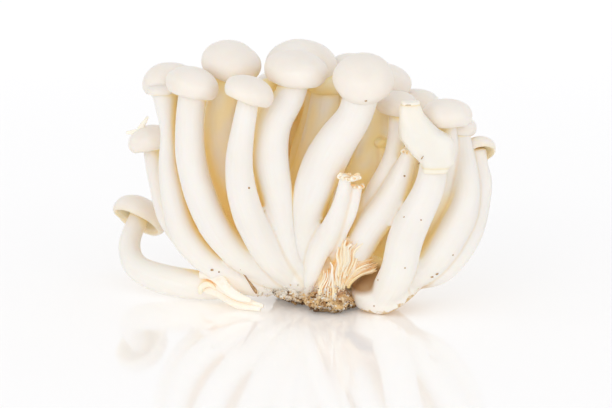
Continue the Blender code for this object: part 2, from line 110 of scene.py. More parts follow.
# Each mushroom: the middle of its stem from the foot up as (x, y, z, stem radius), then its cap's
# radius and the way that the cap's top leans, as (x, y) against a height of 1.
MUSHROOMS = {
    # The left side, from the front row to the back.
    "left_front": ([(-12, -7, 8.5, 3.2), (-26.5, -11, 17.5, 4.6), (-36, -14, 32, 4.9),
        (-40.4, -15, 50, 4.5), (-39.4, -16, 70, 4.1)], 8.0, (0.18, 0.0)),
    "left_middle": ([(-14, -5, 6, 2.9), (-25, -6, 7, 3.5), (-41.5, -7, 20, 4.4),
        (-47, -8, 40, 3.4), (-47.6, -8, 55, 2.3), (-48.4, -8, 67.5, 4.2)], 5.0, (-0.10, -0.05)),
    "left_back": ([(-12, 2, 10, 3.0), (-38, -1, 27, 3.9), (-43.5, -2, 44, 3.6), (-45.5, -4, 58, 3.2),
        (-47.3, -3, 69, 3.0)], 8.2, (-0.12, 0.10)),
    "left_low": ([(-13, 4, 7, 2.8), (-36, 6, 11.5, 3.3), (-47.5, 5, 23, 3.4), (-51.5, 4, 37, 3.1),
        (-53.6, 3.5, 49.7, 2.7)], 7.1, (-0.20, 0.05)),
    # The tall ones across the middle.
    "tall_left": ([(-9, 2, 9, 3.0), (-21.5, 1, 20, 4.2), (-29.5, -1, 37, 4.8), (-32.2, -2, 55, 5.1),
        (-28.2, -3, 74.8, 4.2)], 9.1, (0.22, -0.24)),
    "small_front": ([(-9, -9, 8.5, 3.2), (-17, -16, 18, 4.2), (-23.2, -20, 32, 4.7),
        (-25.5, -23, 48, 4.1), (-22.4, -24, 69, 3.0)], 7.4, (0.34, -0.02)),
    "front_top": ([(-6, -8, 9, 3.2), (-11, -13, 18.5, 3.7), (-14.2, -15, 35, 4.9),
        (-16.6, -16, 48.5, 5.5), (-15.4, -15.5, 58.5, 5.4), (-10.6, -14.2, 66.5, 4.6),
        (-8.7, -13, 74, 4.6)], 9.5, (0.10, -0.10)),
    "back_top": ([(-4, 2, 9, 3.2), (-8, 8, 25, 4.4), (-6.5, 12, 43, 4.5), (-2.5, 12, 60, 4.0),
        (-7.2, 10, 72.5, 3.8)], 11.0, (0.05, 0.0)),
    "round_front": ([(-4, -8, 9, 3.2), (-6.6, -12, 20, 4.0), (-4.8, -15, 34, 5.6),
        (-1.2, -16.5, 44.5, 6.5), (3.4, -18.5, 53.5, 6.1), (8.8, -20.3, 62.0, 5.2),
        (11.1, -21, 72.4, 5.6)], 9.1, (0.12, -0.62)),
    "behind_round": ([(-4, 4, 9, 3.2), (-3, 12, 28, 4.4), (0, 15, 46, 4.4), (5, 14, 62, 3.8),
        (8.2, 13, 70, 3.4)], 7.8, (0.0, 0.0)),
    "middle_knob": ([(-6, 0, 10, 2.6), (-14, -2, 26, 3.2), (-20, -4, 44, 3.2), (-19, -5, 60, 2.6),
        (-16.5, -5, 67.5, 2.2)], 4.2, (0.10, 0.0)),
    # The right side.
    "right_back_top": ([(2, 2, 10, 3.0), (6, -1, 28, 4.6), (12, -2, 42, 4.9), (15.8, 1, 56, 4.4),
        (17.6, 5, 67.6, 3.8)], 8.6, (0.12, 0.05)),
    "right_slim": ([(4, -8, 11, 3.2), (10, -12.5, 25.6, 4.2), (16, -14, 37.3, 4.0), (20.4, -13, 48.8, 2.9),
        (21.6, -7, 62.3, 2.4)], 6.3, (0.10, -0.02)),
    "right_rear": ([(8, 0, 9, 3.0), (20, 1, 16, 3.8), (27.5, 5, 33, 4.0), (30.5, 8, 48, 3.6),
        (29, 9, 60, 3.0)], 6.9, (0.10, 0.0)),
    "right_front": ([(19, -7, 7, 3.2), (25, -11, 14, 3.4), (31, -14, 28, 3.4), (36, -16, 43, 3.1),
        (35.7, -18, 61.2, 2.8)], 7.4, (0.02, 0.0)),
    "right_outer": ([(19, -8, 7, 3.8), (29, -16, 14, 4.9), (37.5, -19, 25.5, 5.0), (42, -18, 38, 4.1),
        (40.0, -12, 56.6, 2.6)], 5.2, (0.15, 0.05)),
    "right_far": ([(21, -6, 8, 3.3), (34.5, -14, 12.5, 3.8), (43.5, -15, 24, 3.6), (47.2, -13, 38, 2.9),
        (46.3, -11, 45.5, 2.5), (45.6, -10, 48.8, 3.2)], 5.8, (-0.30, 0.80)),
    "bud": ([(6, -4, 10, 1.6), (13.8, -5, 28, 1.8), (17.0, -5, 40, 1.6), (17.2, -4.6, 50.4, 1.4)],
        2.6, (0.0, 0.0)),
    "lying": ([(-12, -3, 8, 2.8), (-30, -1, 4.9, 4.0), (-45, 1, 5.4, 4.8), (-58.2, 8, 8, 4.1),
        (-61.8, 16, 14, 3.5), (-59.2, 23, 21.6, 3.2)], 9.0, (0.52, 0.62)),
}

# The rows behind, in the same form, with plainer stems.
REAR_MUSHROOMS = {
    "inner_left": ([(-6, 5, 9, 3.0), (-12, 14, 26, 4.0), (-15, 17, 44, 3.8), (-15, 17, 56, 3.2)],
        6.8, (0.0, 0.05)),
    "inner_right": ([(1, 5, 10, 3.0), (14, 13, 27, 4.2), (21, 16, 43, 4.0), (22, 17, 53, 3.2)],
        7.0, (0.05, 0.05)),
    "rear_far_left": ([(-13, 7, 9, 2.8), (-34, 14, 20, 3.4), (-40, 17, 34, 3.2), (-39, 17, 47, 2.7)],
        6.4, (-0.15, 0.15)),
    "rear_left": ([(-10, 9, 9, 3.0), (-25, 23, 22, 3.9), (-31, 26, 41, 3.8), (-29, 24, 60, 3.0)],
        8.0, (-0.08, 0.20)),
    "rear_middle_left": ([(-7, 10, 9, 3.0), (-13, 27, 22, 4.0), (-16, 31, 42, 3.9), (-14, 28, 62, 3.1)],
        8.6, (0.0, 0.22)),
    "rear_middle": ([(-1, 11, 9, 3.0), (1, 29, 21, 4.0), (3, 33, 38, 3.8), (3, 30, 56, 3.0)],
        7.8, (0.05, 0.25)),
    "rear_middle_right": ([(3, 10, 9, 3.0), (14, 24, 22, 3.8), (18, 28, 40, 3.7), (17, 26, 57, 2.9)],
        7.6, (0.10, 0.18)),
    "rear_right": ([(7, 6, 9, 3.0), (26, 17, 19, 3.7), (32, 21, 34, 3.5), (31, 20, 49, 2.8)],
        7.0, (0.15, 0.15)),
    "rear_far_right": ([(16, 0, 8, 3.0), (34, 5, 17, 3.4), (41, 7, 30, 3.2), (41, 6, 43, 2.6)],
        6.2, (0.25, 0.10)),
}

# Young mushrooms that fill the inside of the clump.
INNER_MUSHROOMS = {
    "inner_far_left": ([(-11, 4, 9, 3.0), (-27, 9, 22, 4.4), (-35, 10, 44, 4.4), (-35.5, 10, 62, 3.4)],
        5.0, (0.0, 0.05)),
    "inner_middle_left": ([(-7, 8, 9, 3.0), (-9, 19, 26, 4.8), (-8.5, 21, 44, 4.6), (-8.2, 20, 63.5, 3.6)],
        6.0, (0.0, 0.05)),
    "inner_middle": ([(-1, 8, 9, 3.0), (7, 19, 26, 4.8), (9.8, 21, 44, 4.6), (10.2, 20, 60, 3.4)],
        5.6, (0.0, 0.05)),
    "inner_far_right": ([(8, 3, 9, 3.0), (24, 9, 20, 4.2), (33, 13, 34, 3.8), (35, 13, 44, 2.8)],
        4.6, (0.1, 0.05)),
    "inner_top": ([(-3, 3, 9, 3.0), (-8.4, 5, 29, 4.6), (-5.0, 6, 41, 5.0), (-1.6, 6.5, 51, 5.3),
        (0.6, 8, 66.5, 4.2)], 6.4, (0.0, 0.0)),
    "inner_low": ([(-9, 4, 9, 3.0), (-20, 9, 26, 4.4), (-23, 10, 42, 4.2), (-23, 10, 52, 3.0)],
        4.8, (0.0, 0.05)),
}

# How the names begin of the caps deep in the clump, which get painted ochre shade where they are sheltered.
SHELTERED_CAPS = ("cap_inner", "cap_middle_knob", "cap_bud")

# Stems with no cap of their own. Their upper ends are torn.
STUBS = {
    "stub_thick": [(-5.2, -10.5, 5.8, 2.0), (-4.3, -14.2, 11, 2.4), (-2.3, -17, 18.8, 3.1),
        (1.7, -20, 27.5, 3.3), (4.2, -22, 35, 2.4), (5.9, -25, 44.4, 1.7)],
    "stub_thin": [(2, -10, 12, 1.8), (4, -18, 24, 2.1), (7.5, -21, 32.5, 2.0), (9.5, -22, 41, 1.6)],
    "stub_right": [(6, -9, 10, 4.0), (12.5, -16, 25, 4.9), (19.5, -19, 36, 4.4), (25.5, -19, 51, 2.3)],
    "hood_stem": [(17.2, -15.5, 5.0, 4.6), (21.2, -22, 14, 5.2), (24.2, -25.5, 27, 5.3),
        (30.5, -26.5, 42, 4.5), (31.5, -26, 53, 3.6)],
}

# The torn hood from its lip down: height, left and right edge of each ring in the photograph's pixels,
# then its half depth and how much yellow painted shade it gets, in the groove under the lip and at the rim.
HOOD_ROWS = [
    (102.0, 402.5, 418.5, 1.6, 0.0), (102.7, 401.5, 420.0, 2.4, 0.0), (104.7, 401.0, 420.2, 2.6, 0.0),
    (105.7, 401.8, 419.4, 2.4, 0.6), (107.0, 400.4, 420.6, 2.7, 0.1), (110.0, 400.0, 422.0, 3.4, 0.0),
    (116.0, 399.6, 424.5, 4.2, 0.0), (121.0, 399.5, 428.5, 4.7, 0.0), (126.0, 399.4, 433.5, 5.0, 0.0),
    (131.0, 399.3, 438.5, 5.2, 0.0), (134.5, 399.2, 443.0, 5.3, 0.0), (137.5, 399.2, 449.0, 5.3, 0.0),
    (140.0, 399.6, 452.5, 5.4, 0.0), (145.0, 403.0, 455.5, 5.4, 0.0), (151.0, 408.0, 456.0, 5.4, 0.0),
    (157.0, 413.0, 456.2, 5.4, 0.0), (162.5, 418.0, 456.2, 5.4, 0.0), (166.0, 420.5, 455.2, 5.2, 0.0),
    (168.2, 421.5, 452.5, 5.1, 0.1), (169.4, 423.2, 450.0, 4.8, 0.5), (170.5, 422.0, 450.5, 5.0, 0.15),
    (173.2, 422.4, 449.5, 5.0, 0.1), (175.0, 423.6, 448.0, 4.6, 0.3),
]
HOOD_DEPTH_CENTRE = -27.0
HOOD_WALL = 1.0
HOOD_SIDES = 40
HOOD_SQUARENESS = 0.62  # 1 is an oval, and less is squarer
HOOD_SOLID_ROWS = 8  # how many rows from the lip down have no inner wall
# The inside wall of the open lower end gets yellow painted shade.
HOOD_INSIDE_SHADE = 0.9

# The torn patch: fibres that fan out of the foot between the stems.
BLOCK_FIBRES = 90
FAN_FIBRES = 170
ARC_FIBRES = 150
STRAND_RADII = (0.16, 0.22, 0.3, 0.45)
STRAND_GRAIN = 0.22  # how fast the waver changes from place to place
STRAND_WAVER = 1.5
FIBRE_SIDES = 6
FIBRE_BANDS = 12
FIBRE_BACKING = [
    [(0.6, -12.5, 3.5, 2.6), (1.0, -13.4, 8, 2.8), (1.8, -13.6, 13, 2.0)],
    [(3.0, -11.8, 6, 2.4), (5.0, -14.2, 14, 2.6), (6.6, -14.6, 19, 1.2)],
    [(5.0, -11.0, 10, 2.2), (8.5, -12.5, 15.5, 2.2), (12.0, -13.0, 16.5, 1.4)],
]

# The torn strip at the left: two ridges, with a flap folded over them.
STRIP_ROUTES = [
    ([(-41, -1.5, 6.2, 1.6), (-35.5, -3.5, 6.6, 1.6), (-31.0, -7.3, 5.0, 1.4),
      (-26.5, -10.6, 3.1, 1.2), (-22.0, -13.0, 2.4, 1.1), (-18.8, -14.6, 1.9, 0.8)], 0.4, 0.6),
    ([(-40, -2.5, 4.6, 1.6), (-35.5, -4.5, 4.8, 1.6), (-31.2, -8.2, 3.2, 1.4),
      (-26.8, -11.6, 1.6, 1.2), (-22.4, -13.8, 1.3, 1.1), (-19.6, -15.2, 1.2, 0.9)], 0.4, 0.6),
    ([(-38.5, -3.0, 8.6, 1.0), (-35.2, -5.6, 9.8, 1.5), (-32.4, -9.8, 9.2, 1.7),
      (-30.0, -12.8, 6.9, 1.5), (-26.6, -13.8, 4.8, 1.2), (-22.6, -14.2, 3.6, 0.7)], 0.5, 0.5),
]
STRIP_CURL = [
    (-38.6, -4.2, 3.4, 0.8), (-37.9, -5.6, 5.6, 0.9), (-36.0, -6.2, 6.6, 0.8),
    (-34.2, -6.3, 5.8, 0.6), (-33.4, -6.2, 4.4, 0.4),
]
FLAKE = [(-60.9, 2, 52.4, 0.45), (-57.4, 2, 52.9, 0.9), (-55.6, 2, 55.2, 0.7), (-54.2, 2, 57.4, 0.35)]
# How brown each of them is, from 0 to 1.
STRIP_SHADE = 0.04
CURL_SHADE = 0.16
FLAKE_SHADE = 0.1

# Torn stub tops: middle, reach, how many peels, and their size.
PEELS = [
    ((7.1, -24.7, 43.8), 2.0, 28, 2.5),
    ((9.5, -22.1, 40.9), 1.3, 13, 1.6),
    ((25.4, -19.2, 50.6), 1.9, 14, 2.2),
]

# The crust's lumps: centre, size and lowest height. The pale one at the left is lifted off the table.
CRUST_LUMPS = [
    (Vector((1.6, -2.5, 2.9)), Vector((9.4, 16.0, 5.0)), 0.0),
    (Vector((-9.0, -1.5, 4.6)), Vector((8.0, 11.0, 3.2)), 1.8),
    (Vector((-5.0, 4.0, 2.4)), Vector((9.5, 12.0, 5.0)), 0.0),
]
CRUST_VOXEL = 0.36
CRUST_GRAINS = 1300
FOOT_CRUMBS = 300
CRUMB_BOX = ((256, 352), (284, 301))  # in the photograph's pixels

# Brown specks on the flesh, by their place in the photograph and their radius.
SPECKS = [
    (249, 188, 0.42), (366, 101, 0.45), (404.5, 176, 0.35), (453, 255, 0.35), (405, 268, 0.3),
    (421, 220, 0.28), (404, 217, 0.28), (378, 280, 0.35), (374, 306, 0.3), (437, 274, 0.6),
    (432, 277, 0.55), (424, 290, 0.7), (212, 270, 0.5), (219, 272, 0.3), (289, 291, 0.4),
]

# Dark lines: their points in the photograph and their radii. The first, in the slit between two stem feet,
# and the third, along the hood's lip, are painted shade; the second is a crack in the hood's rim. The last
# two points of the second one miss the hood and land on a stem far behind, so that crack runs back through
# the clump.
CRACKS_AND_SHADE_LINES = [
    [(240.5, 269.5, 0.1), (246, 276.5, 0.3), (251, 284, 0.5), (255, 290, 0.7), (257, 293, 0.6)],
    [(423.4, 156, 0.08), (421.4, 159, 0.2), (419, 163.6, 0.24), (417.4, 167, 0.12)],
    [(402, 105.4, 0.06), (406, 105.1, 0.12), (411, 105.0, 0.1)],
]


def new_object(name, data):
    """An object for this mesh, lamp or lens, linked to the scene."""
    made = bpy.data.objects.new(name, data)
    bpy.context.scene.collection.objects.link(made)
    return made


def object_from(shell, name):
    """A smooth-shaded object holding what the bmesh holds, which is then freed."""
    bmesh.ops.recalc_face_normals(shell, faces=shell.faces)
    mesh = bpy.data.meshes.new(name)
    shell.to_mesh(mesh)
    shell.free()
    mesh.polygons.foreach_set("use_smooth", [True] * len(mesh.polygons))
    return new_object(name, mesh)


def applied(made):
    """The object with its modifiers worked into its mesh."""
    bpy.context.view_layer.update()
    graph = bpy.context.evaluated_depsgraph_get()
    mesh = bpy.data.meshes.new_from_object(made.evaluated_get(graph))
    made.modifiers.clear()
    made.data = mesh
    return made


def point_on_route(route, share):
    """The point and radius at this share of a smooth curve through the route's points."""
    spans = len(route) - 1
    span = min(int(share * spans), spans - 1)
    t = share * spans - span
    before = Vector(route[max(span - 1, 0)])
    start = Vector(route[span])
    end = Vector(route[span + 1])
    after = Vector(route[min(span + 2, spans)])
    return 0.5 * (
        2 * start
        + (end - before) * t
        + (2 * before - 5 * start + 4 * end - after) * t ** 2
        + (3 * start - before - 3 * end + after) * t ** 3
    )


def frames_along(route, bands, facing=None):
    """Centre, radius, direction and two side directions at evenly spaced shares of the route.

    The second side direction is the one nearest to facing, where that is given.
    """
    frames = []
    for band in range(bands + 1):
        share = band / bands
        here = point_on_route(route, share)
        ahead = point_on_route(route, min(share + 0.02, 1.0)).xyz
        behind = point_on_route(route, max(share - 0.02, 0.0)).xyz
        along = (ahead - behind).normalized()
        turned = UP.rotation_difference(along)
        across, over = turned @ Vector((1, 0, 0)), turned @ Vector((0, 1, 0))
        if facing is not None:
            over = (facing - along * facing.dot(along)).normalized()
            across = over.cross(along)
        frames.append((here.xyz, here.w, along, across, over))
    return frames


def add_tube(shell, route, sides=STEM_SIDES, bands=STEM_BANDS, wobble=STEM_WOBBLE,
             flatness=1.0, facing=None):
    """Adds a closed tube of changing width, and gives its points from the foot up.

    flatness squeezes it along its second side direction, the one nearest to facing.
    """
    rings = []
    for centre, radius, _, across, over in frames_along(route, bands, facing):
        ring = []
        for side in range(sides):
            turn = math.tau * side / sides
            away = across * math.cos(turn) + over * flatness * math.sin(turn)
            swell = 1 + wobble * noise.noise((centre + away * radius) * WOBBLE_PER_MM)
            ring.append(shell.verts.new((centre + away * radius * swell) * MM))
        rings.append(ring)
    shell.faces.new(rings[0])
    shell.faces.new(rings[-1])
    for low, high in zip(rings, rings[1:]):
        for side in range(sides):
            following = (side + 1) % sides
            shell.faces.new((low[side], low[following], high[following], high[side]))
    return [vert for ring in rings for vert in ring]


def torn_floor(x):
    """How low the flesh reaches above the table: the heel's torn underside rises to the right."""
    return max(0.0, (x - HEEL_EDGE) * HEEL_SLOPE)


def add_lump(shell, centre, size, floor, segments=48, bumps=0.0, per_radius=2.3):
    """Adds an uneven rounded body, flattened where it would go below the floor height."""
    made = bmesh.ops.create_uvsphere(shell, u_segments=segments, v_segments=segments // 2, radius=1.0)
    for vert in made["verts"]:
        away = vert.co.copy()
        swell = 1 + bumps * noise.noise(away * per_radius + Vector((SEED, 0, 0)))
        place = centre + Vector(side * part * swell for side, part in zip(away, size))
        place.z = max(place.z, floor, torn_floor(place.x) if floor == 0.0 else floor)
        vert.co = place * MM
    return made["verts"]


def set_points(mesh, name, values, kind="FLOAT"):
    """Stores a value or a vector at every point of the mesh."""
    field = "vector" if kind == "FLOAT_VECTOR" else "value"
    mesh.attributes.new(name, kind, "POINT").data.foreach_set(field, np.asarray(values, "f").ravel())


def points_of(mesh):
    """The mesh's points as an array, in millimetres."""
    points = np.empty(len(mesh.vertices) * 3)
    mesh.vertices.foreach_get("co", points)
    return points.reshape(-1, 3) / MM


def lay_grain(mesh, routes):
    """Stores how each point lies along its nearest stem, and how near it is to a crease and to a deep
    hollow, which get painted shade.
    """
    points = points_of(mesh)
    best = np.full(len(points), np.inf)
    second = best.copy()
    grain = np.zeros_like(points)
    for number, route in enumerate(routes):
        frames = zip(*frames_along(route, GRAIN_BANDS))
        centres, radii, along, across, over = (np.array(part) for part in frames)
        run = np.concatenate([[0], np.cumsum(np.linalg.norm(np.diff(centres, axis=0), axis=1))])
        apart = (points ** 2).sum(1)[:, None] + (centres ** 2).sum(1) - 2 * points @ centres.T
        gaps = np.sqrt(np.maximum(apart, 0)) - radii
        nearest = gaps.argmin(axis=1)
        gap = gaps[np.arange(len(points)), nearest]
        closer = gap < best
        second = np.where(closer, best, np.minimum(second, gap))
        best = np.where(closer, gap, best)
        offset = points - centres[nearest]
        local = np.stack([
            (offset * across[nearest]).sum(1) + GRAIN_STEP * number,
            (offset * over[nearest]).sum(1),
            (offset * along[nearest]).sum(1) + run[nearest],
        ], axis=1)
        grain[closer] = local[closer]
    set_points(mesh, "grain", grain, "FLOAT_VECTOR")
    set_points(mesh, "crease", np.clip(1 - (second - best) / CREASE_REACH, 0, 1))
    deep = np.zeros(len(points))
    for middle, reach in SHADED_HOLLOWS:
        apart = np.linalg.norm((points - np.array(middle)) / np.array(reach), axis=1)
        deep = np.maximum(deep, np.clip((HOLLOW_END - apart) / HOLLOW_FADE, 0, 1))
    set_points(mesh, "hollow", deep)


def even_directions(amount):
    """Directions spread evenly over a ball."""
    found = []
    for number in range(amount):
        height = 1 - 2 * (number + 0.5) / amount
        turn = number * math.pi * (3 - math.sqrt(5))
        reach = math.sqrt(1 - height ** 2)
        found.append((reach * math.cos(turn), reach * math.sin(turn), height))
    return np.array(found)


def lay_shelter(mesh, tree):
    """Stores how much of what a point could see is closed off by the flesh nearby."""
    points = points_of(mesh)
    facing = np.empty(len(mesh.vertices) * 3)
    mesh.vertices.foreach_get("normal", facing)
    facing = facing.reshape(-1, 3)
    directions = even_directions(SHADE_RAYS)
    ahead = facing @ directions.T > SHADE_LOWEST
    worth = SIDE_RAY_WORTH + np.abs(directions[:, 1])
    starts = ((points + facing * SHADE_LIFT) * MM).tolist()
    rays = [Vector(direction) for direction in directions]
    reach = SHADE_REACH * MM
    cast = tree.ray_cast
    closed = []
    for start, open_to in zip(starts, ahead):
        tries = np.flatnonzero(open_to)
        hits = [cast(start, rays[number], reach)[0] is not None for number in tries]
        closed.append((worth[tries] * hits).sum() / max(worth[tries].sum(), SIDE_RAY_WORTH))
    set_points(mesh, "shelter", blurred(mesh, np.array(closed)))


def blurred(mesh, values):
    """The values evened out among neighbouring points."""
    ends = np.empty(len(mesh.edges) * 2, dtype=int)
    mesh.edges.foreach_get("vertices", ends)
    here = np.concatenate([ends[::2], ends[1::2]])
    there = np.concatenate([ends[1::2], ends[::2]])
    share = 1 + np.bincount(here, minlength=len(values))
    for _ in range(SHADE_BLUR):
        values = (values + np.bincount(here, values[there], len(values))) / share
    return values


def dress(made, material, node="mushroom_clump"):
    """Gives a piece its material, hangs it on what it rides on and hides the part it stands for."""
    made.data.materials.clear()
    made.data.materials.append(material)
    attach(made, "root")
    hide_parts(node)
    return made


def between(first, second, share):
    """The pair of numbers this share of the way from one pair to another."""
    return tuple(low + (high - low) * share for low, high in zip(first, second))


def cap_rings(stem_share, rise, opened):
    """Reach, height and gill share of each ring of a cap of radius 1, from its top to its stem."""
    rings = []
    for step in range(1, CAP_DOME_RINGS + 1):
        turn = math.radians(90 * step / CAP_DOME_RINGS)
        rings.append((math.sin(turn), rise * math.cos(turn), 0.0))
    rim = [between(closed, wide, opened) for closed, wide in zip(CLOSED_RIM, OPEN_RIM)]
    rings += [(*place, opened * number / len(rim)) for number, place in enumerate(rim)]
    low, high = GILL_INNER_HEIGHTS
    inner = (stem_share * 0.8, low + (high - low) * opened)
    for step in range(1, GILL_RINGS + 1):
        share = step / GILL_RINGS
        rings.append((*between(rim[-1], inner, share), min(1.0, 3.0 * share)))
    return rings


def cap(name, route, radius, lean, gills, material, seed):
    """A domed cap with a rolled rim, an uneven outline and gills that run in to its stem."""
    pattern = (0.0, 0.72, 1.0, 0.72)
    sides = gills * len(pattern)
    rise, opened = CAP_SHAPES.get(name, (CAP_RISE, 0.0))
    shell = bmesh.new()
    top = shell.verts.new((0, 0, rise))
    rings = []
    under = [0.0]
    plain = CAP_DOME_RINGS + len(CLOSED_RIM)
    for number, (reach, height, depth) in enumerate(cap_rings(route[-1][3] / radius, rise, opened), 1):
        ring = []
        for side in range(sides):
            turn = math.tau * side / sides
            around = Vector((math.cos(turn), math.sin(turn), 0))
            drift = 1 + 0.07 * noise.noise(around * 0.9 + Vector((seed, 0, 0)))
            wave = 0.07 * reach ** 3 * noise.noise(around * 1.6 + Vector((0, seed, 0)))
            place = around * reach * drift + UP * (height + wave)
            place *= 1 + 0.05 * noise.noise(place * 1.3 + Vector((0, 0, seed)))
            if number > plain:
                place.z += GILL_DEPTH * depth * pattern[side % len(pattern)]
            ring.append(shell.verts.new(place))
            under.append(depth)
        rings.append(ring)
    for side in range(sides):
        shell.faces.new((top, rings[0][side], rings[0][(side + 1) % sides]))
    for upper, lower in zip(rings, rings[1:]):
        for side in range(sides):
            following = (side + 1) % sides
            shell.faces.new((upper[side], lower[side], lower[following], upper[following]))
    shell.faces.new(rings[-1])
    axis = Vector((lean[0], lean[1], 1.0)).normalized()
    turned = UP.rotation_difference(axis).to_matrix().to_4x4()
    place = Matrix.Translation(Vector(route[-1][:3]) * MM) @ turned @ Matrix.Scale(radius * MM, 4)
    bmesh.ops.transform(shell, matrix=place, verts=shell.verts)
    made = object_from(shell, "cap_" + name)
    set_points(made.data, "under", under)
    return dress(made, material)


def cap_stem(route, radius, lean):
    """A mushroom's stem, carried on into the middle of its cap."""
    axis = Vector((lean[0], lean[1], 1.0)).normalized()
    inside = Vector(route[-1][:3]) + axis * radius * 0.1
    return route[:-1] + [(*inside, route[-1][3])]


def skin(name, routes, lumps, material):
    """One smooth skin round these stems and lumps, softly joined where they meet."""
    shell = bmesh.new()
    for route in routes:
        add_tube(shell, route)
    for centre, size, floor in lumps:
        add_lump(shell, centre, size, floor)
    made = object_from(shell, name)
    remesh = made.modifiers.new("skin", "REMESH")
    remesh.mode = "VOXEL"
    remesh.voxel_size = SKIN_VOXEL * MM
    soften = made.modifiers.new("soften", "SMOOTH")
    soften.factor = 0.5
    soften.iterations = SKIN_SMOOTHING
    applied(made)
    made.data.polygons.foreach_set("use_smooth", [True] * len(made.data.polygons))
    for vert in made.data.vertices:
        vert.co.z = max(vert.co.z, 0.0)
    lay_grain(made.data, routes)
    return dress(made, material)


def add_strand(shell, shades, draw, start, rise, bend, length, shade):
    """Adds one thin torn strand that leaves along rise, wavers with its neighbours and bends over."""
    wide = draw.choice(STRAND_RADII)
    own = Vector((draw.uniform(-1, 1), draw.uniform(-1, 1), 0)) * 0.02 * length
    route = []
    for step, thickness in enumerate((1.0, 1.0, 0.95, 0.88, 0.7, 0.35)):
        share = step / 5
        place = start + rise * length * share + bend * share ** 2 + own * share
        # This noise takes its seed from the clock, so the strands waver differently in each run.
        place += noise.noise_vector(place * STRAND_GRAIN) * STRAND_WAVER * min(share * 2, 1)
        route.append((*place, wide * thickness))
    flatness = draw.uniform(0.4, 0.8)
    made = add_tube(shell, route, FIBRE_SIDES, FIBRE_BANDS, 0.3, flatness, Vector((0, -1, 0.3)))
    for number in range(len(made)):
        root = 1 - (number // FIBRE_SIDES) / FIBRE_BANDS
        shades.append(min(1.0, shade * (0.6 + 0.4 * root) + 0.15 * root))


def torn_fibres(material):
    """The patch where a stem was torn out: upright block, wavy fan and the arcs to the right."""
    draw = random.Random(SEED)
    shell = bmesh.new()
    shades = []
    for route in FIBRE_BACKING:
        # The backing is dark orange-brown: painted shade in the deep gaps between the strands.
        shades += [0.85] * len(add_tube(shell, route, 16, 16, 0.5))
    for _ in range(BLOCK_FIBRES):
        share = draw.random()
        start = Vector((-1.8 + 5.0 * share, -14.6 - draw.uniform(0, 2.6), 3.8 + draw.uniform(0, 1.5)))
        rise = Vector((0.06 + draw.uniform(-0.03, 0.05), draw.uniform(-0.06, 0.03), 1)).normalized()
        bend = Vector((draw.uniform(-0.3, 0.4), draw.uniform(-0.2, 0.5), 0))
        length = draw.uniform(12.8, 14.0) - start.z
        add_strand(shell, shades, draw, start, rise, bend, length, draw.uniform(0.0, 0.55))
    for _ in range(FAN_FIBRES):
        share = draw.random()
        above = draw.uniform(0, 9)
        forward = draw.uniform(0, 2.2)
        start = Vector((2.4 + 3.2 * share + 0.2 * above, -14.0 - forward - 0.25 * above, 6.5 + above))
        aside = -0.05 + 0.5 * share + draw.uniform(-0.06, 0.06)
        rise = Vector((aside, draw.uniform(-0.3, -0.1), 1)).normalized()
        bend = Vector((draw.uniform(-0.6, 1.6), draw.uniform(-0.2, 0.8), draw.uniform(-0.8, 0.2)))
        add_strand(shell, shades, draw, start, rise, bend, draw.uniform(7, 11.5), draw.uniform(0.0, 0.35))
    for _ in range(ARC_FIBRES):
        share = draw.random()
        start = Vector((4.0 + 3.0 * share, -14.0 - draw.uniform(0, 2.2), 12.0 - 4.2 * share))
        turn = math.radians(18 + 8 * share + draw.uniform(-4, 4))
        rise = Vector((math.sin(turn), draw.uniform(-0.15, 0.0), math.cos(turn))).normalized()
        bend = Vector((draw.uniform(3.0, 4.4), draw.uniform(-0.2, 0.6), -1.6 - 1.2 * share))
        add_strand(shell, shades, draw, start, rise, bend, draw.uniform(8.5, 10.5), draw.uniform(0.0, 0.65))
    made = object_from(shell, "torn_fibres")
    set_points(made.data, "shade", shades)
    return dress(made, material)


def curls(material):
    """The curled peels round the torn tops of the stubs."""
    draw = random.Random(SEED + 1)
    shell = bmesh.new()
    shades = []
    for centre, reach, amount, size in PEELS:
        for number in range(amount):
            turn = math.tau * (number + draw.random()) / amount
            around = Vector((math.cos(turn), math.sin(turn), 0))
            foot = Vector(centre) + around * reach * draw.uniform(0.35, 1.0) - UP * 0.9
            roll = size * draw.uniform(0.45, 1.0)
            side = around.cross(UP) * draw.uniform(-0.7, 0.7)
            turns = draw.uniform(4.4, 6.6)
            route = []
            for step in range(7):
                share = step / 6
                curl = share * turns
                place = (foot + UP * (roll * (0.8 * share + 0.42 * math.sin(curl)))
                         + (around + side) * roll * (0.42 - 0.42 * math.cos(curl)))
                route.append((*place, 0.46 * (1 - 0.35 * share) * draw.uniform(0.75, 1.1)))
            made = add_tube(shell, route, FIBRE_SIDES + 1, 14, 0.4, 0.5)
            shades += [draw.uniform(0.0, 0.28)] * len(made)
    made = object_from(shell, "stub_peels")
    set_points(made.data, "shade", shades)
    return dress(made, material)


